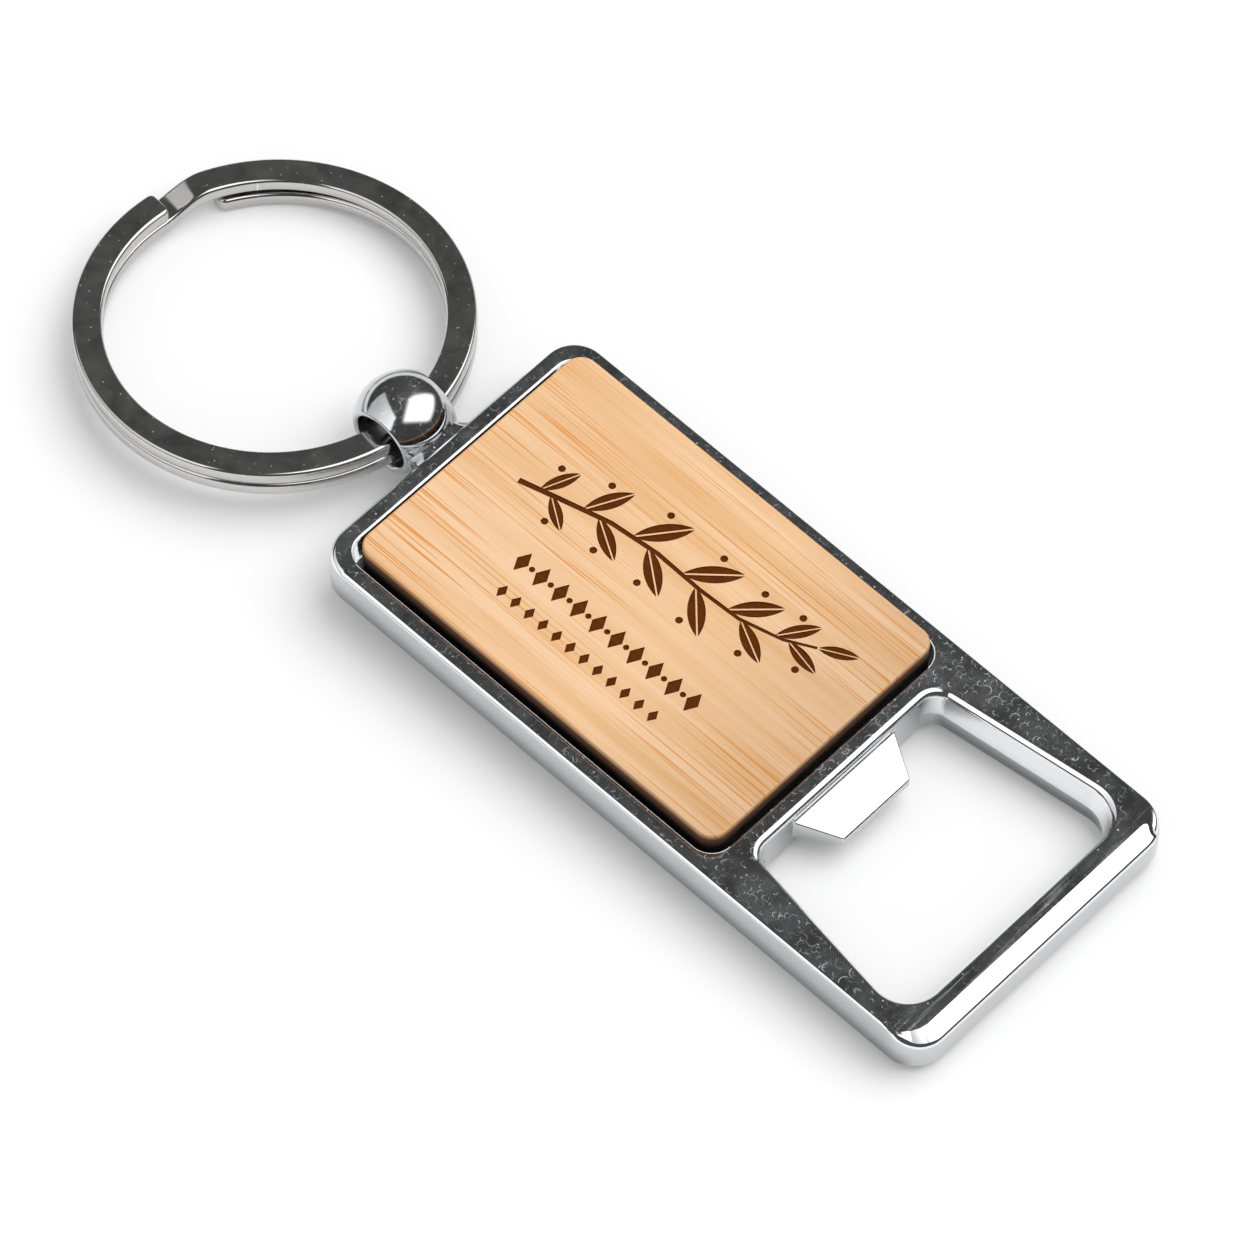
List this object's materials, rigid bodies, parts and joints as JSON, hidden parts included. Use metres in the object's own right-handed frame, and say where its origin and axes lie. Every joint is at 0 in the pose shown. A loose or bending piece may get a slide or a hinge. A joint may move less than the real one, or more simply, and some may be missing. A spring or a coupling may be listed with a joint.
{
  "type": "keychain bottle opener",
  "caption": "Flat chromed bottle opener with a cap window and tongue, a bamboo plate set in its face, and a split key ring through a ball lug.",
  "frame": {"origin": "middle of the casting's flat back face, halfway along and across the casting without its lug", "axes": "+X towards the cap-lifting end, +Y across the width, +Z out of the face with the bamboo plate; the ring hangs at the -X end"},
  "size_m": [0.0983, 0.032, 0.009],
  "materials": {
    "polished_chrome": "bright chrome plate on a polished zinc die casting, with fine handling scratches",
    "pressed_bamboo": "sanded matt bamboo, fibres along the length, edges scorched dark brown by the cutting laser",
    "foam_tape": "white double-sided tape",
    "nickel_plated_steel": "bright nickel plate on flattened spring steel wire"
  },
  "bodies": {
    "frame": {"opener_frame": "polished_chrome", "bamboo_plate": "pressed_bamboo", "adhesive_tape": "foam_tape"},
    "ring": {"split_ring": "nickel_plated_steel"}
  },
  "joints": [
    {"name": "ring_swing", "type": "hinge", "parent": "frame", "child": "ring", "pos_m": [-0.0361, 0, 0.0022], "axis": [0, 1, 0], "range_deg": [-118, 138]}
  ]
}
